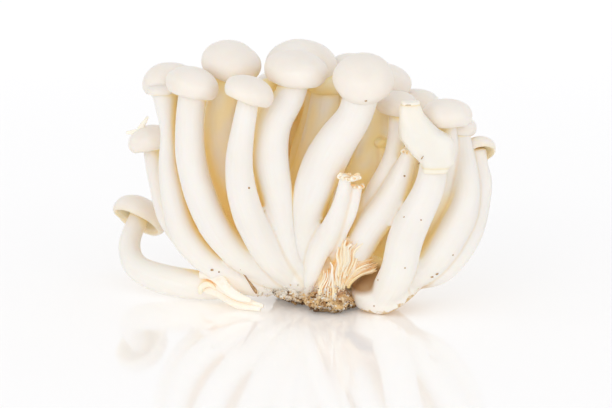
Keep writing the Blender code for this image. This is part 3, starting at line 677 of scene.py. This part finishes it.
def hood(material):
    """The torn cap that hangs over its stem, a bent shell with an open lower end."""
    shell = bmesh.new()
    rings = []
    rows = []
    for level, left, right, depth, yellow_shade in HOOD_ROWS:
        eye, direction = camera_ray(0.5 * (left + right), level)
        middle = eye + direction * (HOOD_DEPTH_CENTRE - depth - eye.y) / direction.y
        wide = 0.5 * (right - left) / FOCAL_PIXELS * (HOOD_DEPTH_CENTRE - eye.y)
        rows.append((middle, wide, depth, yellow_shade))
    inside = [(middle + UP * 0.2, wide - HOOD_WALL, depth - HOOD_WALL, HOOD_INSIDE_SHADE)
              for middle, wide, depth, _ in rows[HOOD_SOLID_ROWS:]]
    tint = []
    for middle, wide, depth, yellow_shade in rows + inside[::-1]:
        ring = []
        for side in range(HOOD_SIDES):
            turn = math.tau * side / HOOD_SIDES
            across = math.copysign(abs(math.cos(turn)) ** HOOD_SQUARENESS, math.cos(turn))
            over = math.copysign(abs(math.sin(turn)) ** HOOD_SQUARENESS, math.sin(turn))
            place = Vector((middle.x + wide * across, HOOD_DEPTH_CENTRE + depth * over, middle.z))
            place += Vector((1, 1, 0.3)) * 0.45 * noise.noise(place * 0.3)
            ring.append(shell.verts.new(place * MM))
            tint.append(yellow_shade)
        rings.append(ring)
    for upper, lower in zip(rings, rings[1:]):
        for side in range(HOOD_SIDES):
            following = (side + 1) % HOOD_SIDES
            shell.faces.new((upper[side], lower[side], lower[following], upper[following]))
    shell.faces.new(rings[0])
    shell.faces.new(rings[-1])
    made = object_from(shell, "torn_hood")
    set_points(made.data, "under", tint)
    finer = made.modifiers.new("finer", "SUBSURF")
    finer.levels = 2
    finer.render_levels = 2
    applied(made)
    return dress(made, material)


def shreds(material):
    """The torn strip with its flap, the curl beside it and the flake on the low cap."""
    shell = bmesh.new()
    front = Vector((0, -1, 0.35))
    shades = []
    for route, wobble, flatness in STRIP_ROUTES:
        shades += [STRIP_SHADE] * len(add_tube(shell, route, 24, 60, wobble, flatness, front))
    shades += [CURL_SHADE] * len(add_tube(shell, STRIP_CURL, 12, 24, 0.3, 0.7, front))
    shades += [FLAKE_SHADE] * len(add_tube(shell, FLAKE, 12, 24, 0.3, 0.4, front))
    for vert in shell.verts:
        vert.co.z = max(vert.co.z, 0.0)
    made = object_from(shell, "torn_strip_and_flake")
    set_points(made.data, "shade", shades)
    return dress(made, material)


def camera_ray(photo_x, photo_y):
    """The camera's place and the direction through a pixel of the photograph."""
    back = Vector((0, -math.cos(CAMERA_ELEVATION), math.sin(CAMERA_ELEVATION)))
    upward = Vector((0, math.sin(CAMERA_ELEVATION), math.cos(CAMERA_ELEVATION)))
    across = (photo_x - IMAGE_WIDTH / 2) / FOCAL_PIXELS
    above = (IMAGE_HEIGHT / 2 - photo_y) / FOCAL_PIXELS
    direction = (Vector((across, 0, 0)) + upward * above - back).normalized()
    return AIM + back * CAMERA_DISTANCE, direction


def tree_of(pieces):
    """The surface of all these pieces together, ready for rays."""
    points, faces = [], []
    for piece in pieces:
        first = len(points)
        points += [vert.co for vert in piece.data.vertices]
        faces += [[first + corner for corner in face.vertices] for face in piece.data.polygons]
    return BVHTree.FromPolygons(points, faces)


def first_hit(tree, photo_x, photo_y):
    """The nearest place and facing that the camera meets through a pixel of the photograph."""
    eye, direction = camera_ray(photo_x, photo_y)
    spot, facing, _, _ = tree.ray_cast(eye * MM, direction)
    return spot, facing


def specks(tree, material):
    """Small brown specks, pressed into whatever flesh lies at their place, and dark lines laid along the
    flesh: a crack and two lines of painted shade.
    """
    shell = bmesh.new()
    for photo_x, photo_y, radius in SPECKS:
        spot, facing = first_hit(tree, photo_x, photo_y)
        if spot is None:
            continue
        turned = UP.rotation_difference(facing).to_matrix().to_4x4()
        size = Matrix.Diagonal((radius * MM, radius * 0.8 * MM, radius * 0.35 * MM, 1))
        made = bmesh.ops.create_icosphere(
            shell, subdivisions=2, radius=1.0, matrix=Matrix.Translation(spot) @ turned @ size)
        for vert in made["verts"]:
            vert.co += facing * 0.25 * radius * MM * noise.noise(vert.co / MM * 2.5)
    # Dark lines: one crack and two lines of painted shade.
    for dark_line in CRACKS_AND_SHADE_LINES:
        route = []
        for photo_x, photo_y, radius in dark_line:
            spot, _ = first_hit(tree, photo_x, photo_y)
            if spot is not None:
                route.append((*(spot / MM), radius))
        add_tube(shell, route, 8, 16, 0.4, 0.5, Vector((0, -1, 0.2)))
    made = object_from(shell, "brown_specks")
    return dress(made, material)


def grain_template():
    """The points and faces of a ball, to be bent into every grain."""
    shell = bmesh.new()
    bmesh.ops.create_icosphere(shell, subdivisions=2, radius=1.0)
    points = [vert.co.copy() for vert in shell.verts]
    faces = [[vert.index for vert in face.verts] for face in shell.faces]
    shell.free()
    return points, faces


def add_grain(points, faces, ball, draw, middle, size):
    """Adds one irregular grain to the lists of points and faces."""
    corners, sides = ball
    spin = Matrix.Rotation(draw.uniform(0, math.tau), 3, (draw.random(), draw.random(), 1))
    shape = Vector((size, size * draw.uniform(0.3, 0.9), size * draw.uniform(0.2, 0.7)))
    first = len(points)
    for corner in corners:
        out = spin @ (corner * shape)
        out *= 1 + 0.8 * noise.noise(out * 2.2 + middle)
        spot = middle + out
        points.append(Vector((spot.x, spot.y, max(spot.z, 0.0))) * MM)
    faces += [[first + corner for corner in face] for face in sides]


def crust(material):
    """The growing medium: an uneven cake with grains stuck all over it."""
    draw = random.Random(SEED + 2)
    shell = bmesh.new()
    for centre, size, floor in CRUST_LUMPS:
        add_lump(shell, centre, size, floor, 48, 0.22, 3.1)
    cake = object_from(shell, "cake")
    remesh = cake.modifiers.new("skin", "REMESH")
    remesh.mode = "VOXEL"
    remesh.voxel_size = CRUST_VOXEL * MM
    applied(cake)
    points = []
    spots = []
    for vert in cake.data.vertices:
        place = vert.co / MM
        if place.z > 0.15:
            rough = (0.55 * noise.noise(place * 0.45) + 0.45 * noise.noise(place * 1.1)
                     + 0.2 * noise.noise(place * 2.6))
            place = place + vert.normal * rough * min(1.0, place.z)
        if place.z > 0.6 and vert.normal.z < 0.6:
            spots.append(place)
        points.append(Vector((place.x, place.y, max(place.z, 0.0))) * MM)
    faces = [list(face.vertices) for face in cake.data.polygons]
    bpy.data.objects.remove(cake)
    shades = [0.5] * len(points)
    ball = grain_template()
    for _ in range(CRUST_GRAINS):
        size = 0.25 + 0.7 * draw.random() ** 2
        middle = draw.choice(spots)
        middle = Vector((middle.x, middle.y, max(middle.z, size * 1.1)))
        add_grain(points, faces, ball, draw, middle, size)
        shades += [draw.random()] * len(ball[0])
    return finish_crust("crust_of_grains", points, faces, shades, material)


def finish_crust(name, points, faces, shades, material):
    """A piece of growing medium from its points, faces and shades."""
    mesh = bpy.data.meshes.new(name)
    mesh.from_pydata(points, [], faces)
    mesh.polygons.foreach_set("use_smooth", [True] * len(mesh.polygons))
    made = new_object(name, mesh)
    set_points(mesh, "shade", shades)
    return dress(made, material, "substrate_crust")


def foot_crumbs(tree, material):
    """Crumbs of growing medium left on the lowest part of the stems."""
    draw = random.Random(SEED + 3)
    points, faces, shades = [], [], []
    ball = grain_template()
    (left, right), (upper, lower) = CRUMB_BOX
    for _ in range(FOOT_CRUMBS):
        photo_x = draw.uniform(left, right)
        photo_y = upper + (lower - upper) * math.sqrt(draw.random())
        spot, _ = first_hit(tree, photo_x, photo_y)
        size = 0.2 + 0.5 * draw.random() ** 2
        shade = draw.random()
        if spot is None:
            continue
        add_grain(points, faces, ball, draw, spot / MM, size)
        shades += [shade] * len(ball[0])
    return finish_crust("foot_crumbs", points, faces, shades, material)


class Look:
    """A node material under construction."""

    def __init__(self, name, roughness):
        self.material = bpy.data.materials.new(name)
        self.material.use_nodes = True
        self.tree = self.material.node_tree
        self.shader = self.tree.nodes["Principled BSDF"]
        self.settle(("Roughness", roughness))

    def settle(self, *pairs):
        """Sets values that are the same all over on the shader's own sockets."""
        for name, value in pairs:
            self.shader.inputs[name].default_value = value

    def node(self, kind):
        """A new node of this kind."""
        return self.tree.nodes.new("ShaderNode" + kind)

    def join(self, source, target):
        """Links an output to an input."""
        self.tree.links.new(source, target)

    def place(self):
        """Where a point is, in the object's own metres."""
        return self.node("TexCoord").outputs["Object"]

    def stored(self, name, output):
        """An attribute stored on the mesh."""
        node = self.node("Attribute")
        node.attribute_name = name
        return node.outputs[output]

    def stretched(self, source, scale):
        """A vector scaled differently along its three directions."""
        node = self.node("VectorMath")
        node.operation = "MULTIPLY"
        self.join(source, node.inputs[0])
        node.inputs[1].default_value = scale
        return node.outputs[0]

    def noise(self, scale, detail=3.0, roughness=0.5, source=None):
        """A noise pattern's strength at a point, or at what the source gives for it."""
        node = self.node("TexNoise")
        node.inputs["Scale"].default_value = scale
        node.inputs["Detail"].default_value = detail
        node.inputs["Roughness"].default_value = roughness
        self.join(self.place() if source is None else source, node.inputs["Vector"])
        return node.outputs["Fac"]

    def ramp(self, source, stops):
        """Colours by the strength of the source: (place, colour) for each stop."""
        node = self.node("ValToRGB")
        stripes = node.color_ramp.elements
        while len(stripes) < len(stops):
            stripes.new(0.5)
        for stripe, (at, colour) in zip(stripes, stops):
            stripe.position = at
            stripe.color = (*colour, 1.0)
        self.join(source, node.inputs["Fac"])
        return node.outputs["Color"]

    def sum(self, first, second, way="ADD"):
        """Two strengths added up, or one less the other."""
        node = self.node("Math")
        node.operation = way
        self.join(first, node.inputs[0])
        self.join(second, node.inputs[1])
        return node.outputs[0]

    def range(self, source, low, high, to_low=0.0, to_high=1.0):
        """The source's strength spread from one range to another, held at its ends."""
        node = self.node("MapRange")
        for value, socket in zip((low, high, to_low, to_high), node.inputs[1:5]):
            socket.default_value = value
        self.join(source, node.inputs[0])
        return node.outputs[0]

    def mix(self, share, first, second, way="MIX"):
        """One colour mixed with another. Each is a colour or an output."""
        node = self.node("Mix")
        node.data_type = "RGBA"
        node.blend_type = way
        self.feed(share, node.inputs[0])
        self.feed(first, node.inputs[6])
        self.feed(second, node.inputs[7])
        return node.outputs[2]

    def feed(self, value, socket):
        """Links an output, or sets a plain number or colour."""
        if isinstance(value, bpy.types.NodeSocket):
            self.join(value, socket)
        elif isinstance(value, tuple):
            socket.default_value = (*value, 1.0)
        else:
            socket.default_value = value

    def bump(self, source, depth, under=None):
        """Relief of this depth in metres."""
        node = self.node("Bump")
        node.inputs["Distance"].default_value = depth
        self.join(source, node.inputs["Height"])
        if under is not None:
            self.join(under, node.inputs["Normal"])
        return node.outputs["Normal"]

    def colour(self, source):
        self.join(source, self.shader.inputs["Base Color"])

    def relief(self, source):
        self.join(source, self.shader.inputs["Normal"])

    def painted_glow(self, strength, colour):
        """Painted glow: a faint warm emission of this strength, standing in for light that thin flesh lets
        through.
        """
        self.settle(("Emission Color", (*colour, 1.0)))
        self.feed(strength, self.shader.inputs["Emission Strength"])

    def glow_through(self, weight, scale):
        """Light that enters the flesh and comes out nearby."""
        self.settle(("Subsurface Weight", weight), ("Subsurface Scale", scale),
                    ("Subsurface Radius", (1.0, 0.75, 0.5)))


def separate(look, axis):
    """How far along this axis a point is, in metres."""
    node = look.node("SeparateXYZ")
    look.join(look.place(), node.inputs[0])
    return node.outputs[axis]


def stem_look():
    """Moist off-white flesh with faint streaks along each stem, and painted light: tan shade in the creases
    between them, ochre shade and a faint glow where it is sheltered, brown shade in the deep hollows and
    paler colour for bounced light near the foot.
    """
    look = Look("stem_flesh", 0.42)
    grain = look.stored("grain", "Vector")
    streaks = look.noise(1.0, 4.0, 0.6, look.stretched(grain, (1.4, 1.4, 0.05)))
    patches = look.noise(70.0)
    colour = look.ramp(patches, [(0.35, (0.930, 0.897, 0.855)), (0.75, (0.905, 0.865, 0.805))])
    # Paler towards the foot: painted light, for the bounce off the white floor.
    foot = look.range(separate(look, "Z"), 0.028, 0.006, 0.0, 0.8)
    colour = look.mix(foot, colour, (0.985, 0.945, 0.88))
    colour = look.mix(look.range(streaks, 0.45, 0.8, 0.0, 0.25), colour, (0.90, 0.83, 0.72))
    # Painted ochre shade where the flesh is closed off, for the warm light bounced inside the clump.
    shelter = look.range(look.stored("shelter", "Fac"), 0.5, 0.86)
    colour = look.mix(shelter, colour, (1.0, 0.83, 0.45))
    # A faint painted glow in the same sheltered places.
    look.painted_glow(look.range(shelter, 0.0, 1.0, 0.0, 0.03), (1.0, 0.9, 0.5))
    # Painted tan shade in the creases between neighbouring stems.
    crease = look.range(look.stored("crease", "Fac"), 0.35, 1.0, 0.0, 0.4)
    colour = look.mix(crease, colour, (0.92, 0.72, 0.44))
    near, far = HEEL_EDGE * MM, (HEEL_EDGE + HEEL_RUN) * MM
    slope = look.range(separate(look, "X"), near, far, 0.0, HEEL_RUN * HEEL_SLOPE * MM)
    above = look.sum(separate(look, "Z"), slope, "SUBTRACT")
    torn = look.sum(above, look.range(look.noise(600.0), 0.3, 0.7, -0.001, 0.001))
    edge = look.sum(
        look.range(torn, 0.0014, 0.0004, 0.0, 0.9),
        look.range(separate(look, "X"), 0.033, 0.028), "MULTIPLY")
    edge = look.sum(edge, look.range(separate(look, "X"), 0.006, 0.008), "MULTIPLY")
    colour = look.mix(edge, colour, (0.64, 0.42, 0.16))
    # Painted brown shade in the deep hollows.
    hollow = look.range(look.stored("hollow", "Fac"), 0.0, 1.0, 0.0, 0.9)
    colour = look.mix(hollow, colour, (0.40, 0.21, 0.06))
    look.colour(colour)
    fine = look.noise(900.0)
    look.relief(look.bump(streaks, 0.00008, look.bump(fine, 0.00003)))
    look.glow_through(0.3, 0.0025)
    return look.material


def cap_look(name, pale, deep):
    """Smooth satin caps between two close colours. Under the cap and between the gills they turn from cream
    to tan: the gills' own cream deepened with painted shade. Sheltered caps get painted ochre shade.
    """
    look = Look(name, 0.38)
    patches = look.noise(110.0)
    colour = look.ramp(patches, [(0.3, pale), (0.75, deep)])
    under = look.stored("under", "Fac")
    # Under the cap the gills' own cream deepens to tan: partly their colour, partly painted shade.
    colour = look.mix(look.range(under, 0.0, 1.0, 0.0, 0.95), colour, (0.96, 0.75, 0.36))
    # Painted ochre shade where a cap deep in the clump is closed off.
    shelter = look.range(look.stored("shelter", "Fac"), 0.2, 0.7)
    colour = look.mix(shelter, colour, (1.0, 0.83, 0.44))
    look.colour(colour)
    fine = look.noise(1200.0, 2.0)
    broad = look.noise(260.0, 2.0)
    look.relief(look.bump(broad, 0.00012, look.bump(fine, 0.00003)))
    look.glow_through(0.3, 0.0025)
    return look.material


def torn_look():
    """Torn flesh, from cream strands to orange-brown ones, browner towards the foot, with painted orange
    shade where the strands are sheltered and a faint painted glow.
    """
    look = Look("torn_flesh", 0.55)
    shade = look.stored("shade", "Fac")
    colour = look.ramp(shade, [
        (0.0, (0.99, 0.955, 0.875)), (0.3, (0.99, 0.895, 0.68)), (0.65, (0.96, 0.71, 0.33)),
        (1.0, (0.60, 0.33, 0.10)),
    ])
    # Painted orange shade between the strands, where they are closed off.
    shelter = look.range(look.stored("shelter", "Fac"), 0.58, 0.92)
    colour = look.mix(shelter, colour, (1.0, 0.66, 0.28))
    spots = look.noise(500.0, 4.0)
    colour = look.mix(look.range(spots, 0.55, 0.8, 0.0, 0.3), colour, (0.90, 0.64, 0.34))
    look.colour(colour)
    # A faint painted glow all over, for light through the thin strands.
    look.painted_glow(0.045, (1.0, 0.82, 0.52))
    look.relief(look.bump(look.noise(1500.0), 0.0001))
    look.glow_through(0.25, 0.0008)
    return look.material


def speck_look():
    """Dried brown bits, also the colour of the crack and of the lines of painted shade."""
    look = Look("brown_speck", 0.7)
    spots = look.noise(1800.0)
    look.colour(look.ramp(spots, [(0.35, (0.34, 0.19, 0.08)), (0.7, (0.66, 0.45, 0.24))]))
    look.relief(look.bump(spots, 0.0001))
    return look.material


def crust_look():
    """Sawdust and bran: brown, cream and grey grains under white threads, darkened near the table with a
    painted contact shadow.
    """
    look = Look("growing_medium", 0.85)
    shade = look.stored("shade", "Fac")
    grains = look.ramp(shade, [
        (0.0, (0.06, 0.03, 0.012)), (0.25, (0.42, 0.20, 0.06)), (0.5, (0.86, 0.60, 0.30)),
        (0.75, (0.97, 0.90, 0.74)), (1.0, (0.97, 0.94, 0.88)),
    ])
    spots = look.noise(1100.0, 5.0, 0.7)
    colour = look.mix(look.range(spots, 0.52, 0.66, 0.0, 0.75), grains, (0.24, 0.13, 0.05))
    threads = look.noise(420.0, 6.0, 0.65)
    threads = look.sum(threads, look.range(separate(look, "X"), -0.003, -0.012, 0.0, 0.10))
    threads = look.sum(threads, look.range(separate(look, "Z"), 0.0036, 0.0060, 0.0, 0.11))
    colour = look.mix(look.range(threads, 0.57, 0.68, 0.0, 0.9), colour, (0.97, 0.94, 0.87))
    # Painted contact shadow: near black towards the table.
    low = look.range(separate(look, "Z"), 0.0024, 0.0004, 0.0, 0.75)
    look.colour(look.mix(low, colour, (0.10, 0.055, 0.025)))
    look.relief(look.bump(spots, 0.0004, look.bump(threads, 0.0003)))
    return look.material


def set_stage():
    """A glossy white floor, soft lights and a white room."""
    scene = bpy.context.scene
    scene.view_settings.view_transform = "Standard"
    world = bpy.data.worlds.new("white_room")
    world.use_nodes = True
    nodes = world.node_tree.nodes
    join = world.node_tree.links.new
    sky = nodes["Background"]
    height = nodes.new("ShaderNodeSeparateXYZ")
    direction = nodes.new("ShaderNodeTexCoord")
    fade = nodes.new("ShaderNodeMapRange")
    join(direction.outputs["Generated"], height.inputs[0])
    join(height.outputs["Z"], fade.inputs[0])
    join(fade.outputs[0], sky.inputs["Strength"])
    fade.inputs["To Min"].default_value = 1.02
    fade.inputs["To Max"].default_value = 0.72
    sky.inputs["Color"].default_value = (1.0, 1.0, 1.01, 1.0)
    scene.cycles.diffuse_bounces = 8
    scene.world = world
    shell = bmesh.new()
    bmesh.ops.create_grid(shell, x_segments=1, y_segments=1, size=6.0)
    floor = object_from(shell, "floor")
    look = Look("white_gloss", 0.06)
    look.settle(("Base Color", (0.95, 0.945, 0.94, 1.0)), ("IOR", 1.65),
                ("Emission Color", (1.0, 1.0, 1.0, 1.0)), ("Emission Strength", 0.12))
    floor.data.materials.append(look.material)
    for name, place, size, power in (
        ("key_light", (-0.40, -0.70, 0.26), 0.6, 1.05),
        ("fill_light", (0.50, -0.65, 0.14), 0.6, 0.8),
    ):
        lamp = bpy.data.lights.new(name, "AREA")
        lamp.size = size
        lamp.energy = power
        light = new_object(name, lamp)
        light.location = place
        light.rotation_euler = (AIM * MM - Vector(place)).to_track_quat("-Z", "Y").to_euler()


def set_camera():
    """The photograph's view."""
    lens = bpy.data.cameras.new("camera")
    lens.sensor_width = 36.0
    lens.lens = FOCAL_PIXELS / IMAGE_WIDTH * lens.sensor_width
    lens.clip_start = 0.01
    eye = new_object("camera", lens)
    eye.location, _ = (vector * MM for vector in camera_ray(0, 0))
    eye.rotation_euler = (AIM * MM - eye.location).to_track_quat("-Z", "Y").to_euler()
    bpy.context.scene.camera = eye


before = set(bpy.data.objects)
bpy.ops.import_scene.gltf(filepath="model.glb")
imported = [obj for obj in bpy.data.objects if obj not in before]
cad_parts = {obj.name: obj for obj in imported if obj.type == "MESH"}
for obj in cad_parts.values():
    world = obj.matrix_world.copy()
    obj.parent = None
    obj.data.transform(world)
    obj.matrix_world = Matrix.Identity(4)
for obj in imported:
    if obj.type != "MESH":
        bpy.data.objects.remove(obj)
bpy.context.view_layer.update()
set_camera()
set_stage()

stem_flesh = stem_look()
cap_flesh = cap_look("cap_flesh", (0.935, 0.875, 0.805), (0.905, 0.835, 0.750))
hood_flesh = cap_look("hood_flesh", (0.985, 0.920, 0.820), (0.970, 0.895, 0.785))
torn_flesh = torn_look()

every = {**MUSHROOMS, **REAR_MUSHROOMS, **INNER_MUSHROOMS}
left = [cap_stem(*spec) for spec in every.values() if spec[0][-1][0] < -1]
right = [cap_stem(*spec) for spec in every.values() if spec[0][-1][0] >= -1] + list(STUBS.values())
webs = [(centre, size, FOOT_BOTTOM) for centre, size in FOOT_WEBS]
flesh = [
    skin("stems_left", left, [(FOOT_CENTRE, FOOT_SIZE, FOOT_BOTTOM)] + webs, stem_flesh),
    skin("stems_right", right, [(HEEL_CENTRE, HEEL_SIZE, 0.0)], stem_flesh),
]
for number, (name, spec) in enumerate(every.items()):
    gills = GILLS_FRONT if name in MUSHROOMS else GILLS_REAR
    flesh.append(cap(name, *spec, gills, cap_flesh, 3.7 * number))
flesh.append(hood(hood_flesh))
torn = [shreds(torn_flesh), curls(torn_flesh), torn_fibres(torn_flesh)]
tree = tree_of(flesh + torn)
hidden = [piece for piece in flesh if piece.name.startswith(SHELTERED_CAPS)]
for piece in flesh[:2] + torn + hidden:
    lay_shelter(piece.data, tree)
specks(tree, speck_look())
medium = crust_look()
crust(medium)
foot_crumbs(tree, medium)
